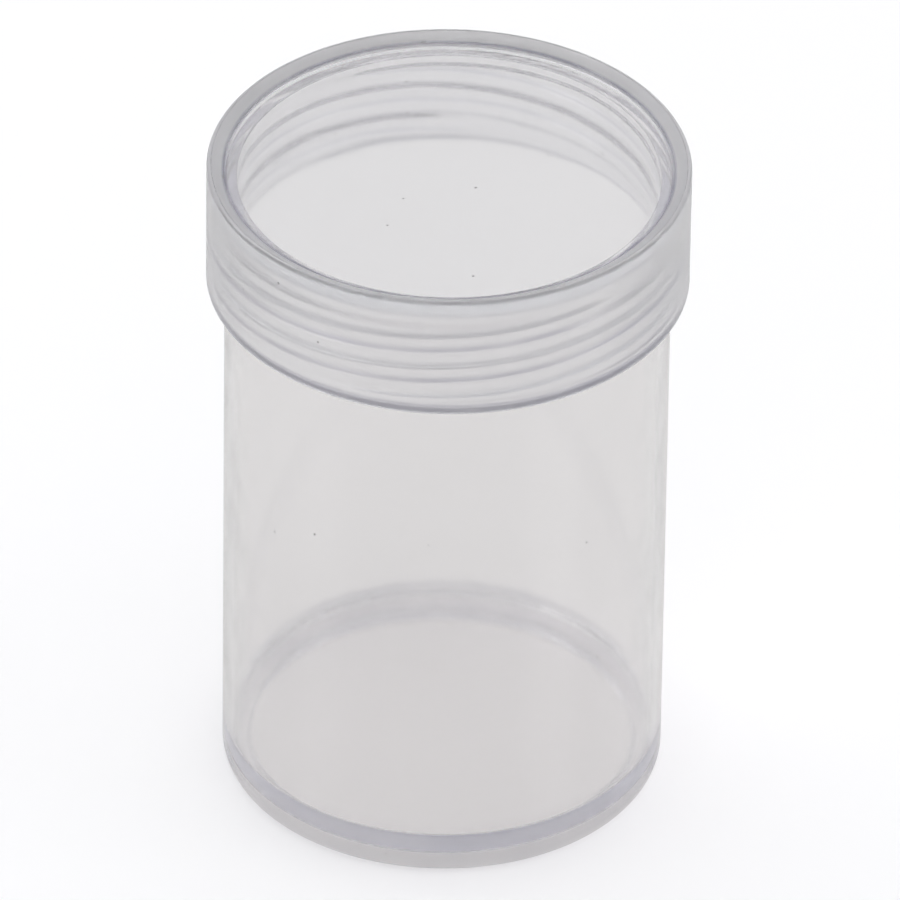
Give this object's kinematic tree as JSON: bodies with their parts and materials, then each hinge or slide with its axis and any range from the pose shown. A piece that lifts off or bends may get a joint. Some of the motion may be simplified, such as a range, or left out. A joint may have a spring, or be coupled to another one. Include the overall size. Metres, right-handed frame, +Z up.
{
  "type": "coin tube",
  "caption": "Round clear plastic tube with a screw-on cap, for keeping a roll of large silver coins.",
  "frame": {"origin": "middle of the ring that the tube stands on", "axes": "+Z up the tube's axis, from the foot ring to the cap"},
  "size_m": [0.0474, 0.0474, 0.0705],
  "materials": {
    "clear_tube": "gloss",
    "clear_cap": "gloss"
  },
  "bodies": {
    "tube": {"tube": "clear_tube"},
    "cap": {"screw_cap": "clear_cap"}
  },
  "joints": [
    {"name": "cap_lift", "type": "slide", "parent": "tube", "child": "cap", "axis": [0, 0, 1], "range_m": [0, 0.075]}
  ]
}
